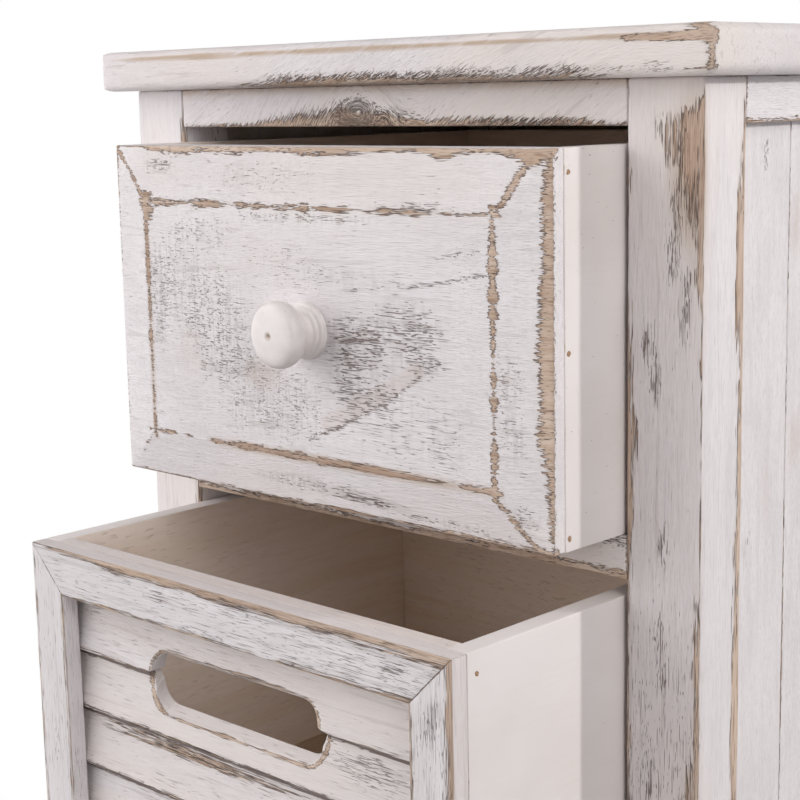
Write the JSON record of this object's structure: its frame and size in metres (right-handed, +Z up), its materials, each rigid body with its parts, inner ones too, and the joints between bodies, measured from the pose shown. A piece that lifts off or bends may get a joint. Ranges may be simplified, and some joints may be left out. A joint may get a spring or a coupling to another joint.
{
  "type": "chest of drawers",
  "caption": "Tall narrow semainier in white-washed distressed wood: fielded top drawer with a turned knob, louvred drawers with cut-out handles, framed sides on post legs.",
  "frame": {"origin": "on the floor, under the middle of the outline with the two upper drawers part open as at rest", "axes": "+X to the right as seen from the front, +Y to the back, +Z up"},
  "size_m": [0.341, 0.3468, 1.288],
  "materials": {
    "whitewashed_wood": "white wash rubbed through at the edges",
    "cream_painted_wood": "smooth matte cream paint",
    "knob_wood": "smooth satin paint",
    "plain_wood": "unpainted, sawn",
    "plywood": "unpainted plywood",
    "steel": "plain steel"
  },
  "bodies": {
    "cabinet": {"top_board": "whitewashed_wood", "front_left_post": "whitewashed_wood", "front_right_post": "whitewashed_wood", "rear_left_post": "whitewashed_wood", "rear_right_post": "whitewashed_wood", "top_front_rail": "whitewashed_wood", "drawer_rails": "whitewashed_wood", "bottom_front_rail": "whitewashed_wood", "side_rails": "whitewashed_wood", "back_rails": "plain_wood", "left_side_planks": "whitewashed_wood", "right_side_planks": "whitewashed_wood", "back_panel": "plywood", "left_runners": "plain_wood", "right_runners": "plain_wood", "runner_screws": "steel", "top_screws": "steel"},
    "drawer_1": {"drawer_1_front": "whitewashed_wood", "drawer_1_knob": "knob_wood", "drawer_1_knob_screw": "steel", "drawer_1_sides": "cream_painted_wood", "drawer_1_back": "plain_wood", "drawer_1_bottom": "plywood", "drawer_1_pins": "steel"},
    "drawer_2": {"drawer_2_frame": "whitewashed_wood", "drawer_2_slats": "whitewashed_wood", "drawer_2_sides": "cream_painted_wood", "drawer_2_back": "plain_wood", "drawer_2_bottom": "plywood", "drawer_2_pins": "steel"},
    "drawer_3": {"drawer_3_frame": "whitewashed_wood", "drawer_3_slats": "whitewashed_wood", "drawer_3_sides": "cream_painted_wood", "drawer_3_back": "plain_wood", "drawer_3_bottom": "plywood", "drawer_3_pins": "steel"},
    "drawer_4": {"drawer_4_frame": "whitewashed_wood", "drawer_4_slats": "whitewashed_wood", "drawer_4_sides": "cream_painted_wood", "drawer_4_back": "plain_wood", "drawer_4_bottom": "plywood", "drawer_4_pins": "steel"},
    "drawer_5": {"drawer_5_frame": "whitewashed_wood", "drawer_5_slats": "whitewashed_wood", "drawer_5_sides": "cream_painted_wood", "drawer_5_back": "plain_wood", "drawer_5_bottom": "plywood", "drawer_5_pins": "steel"},
    "drawer_6": {"drawer_6_frame": "whitewashed_wood", "drawer_6_slats": "whitewashed_wood", "drawer_6_sides": "cream_painted_wood", "drawer_6_back": "plain_wood", "drawer_6_bottom": "plywood", "drawer_6_pins": "steel"},
    "drawer_7": {"drawer_7_frame": "whitewashed_wood", "drawer_7_slats": "whitewashed_wood", "drawer_7_sides": "cream_painted_wood", "drawer_7_back": "plain_wood", "drawer_7_bottom": "plywood", "drawer_7_pins": "steel"}
  },
  "joints": [
    {"name": "drawer_1_slide", "type": "slide", "parent": "cabinet", "child": "drawer_1", "axis": [0, -1, 0], "range_m": [-0.0406, 0.1394]},
    {"name": "drawer_2_slide", "type": "slide", "parent": "cabinet", "child": "drawer_2", "axis": [0, -1, 0], "range_m": [-0.0968, 0.0832]},
    {"name": "drawer_3_slide", "type": "slide", "parent": "cabinet", "child": "drawer_3", "axis": [0, -1, 0], "range_m": [0, 0.18]},
    {"name": "drawer_4_slide", "type": "slide", "parent": "cabinet", "child": "drawer_4", "axis": [0, -1, 0], "range_m": [0, 0.18]},
    {"name": "drawer_5_slide", "type": "slide", "parent": "cabinet", "child": "drawer_5", "axis": [0, -1, 0], "range_m": [0, 0.18]},
    {"name": "drawer_6_slide", "type": "slide", "parent": "cabinet", "child": "drawer_6", "axis": [0, -1, 0], "range_m": [0, 0.18]},
    {"name": "drawer_7_slide", "type": "slide", "parent": "cabinet", "child": "drawer_7", "axis": [0, -1, 0], "range_m": [0, 0.18]}
  ]
}
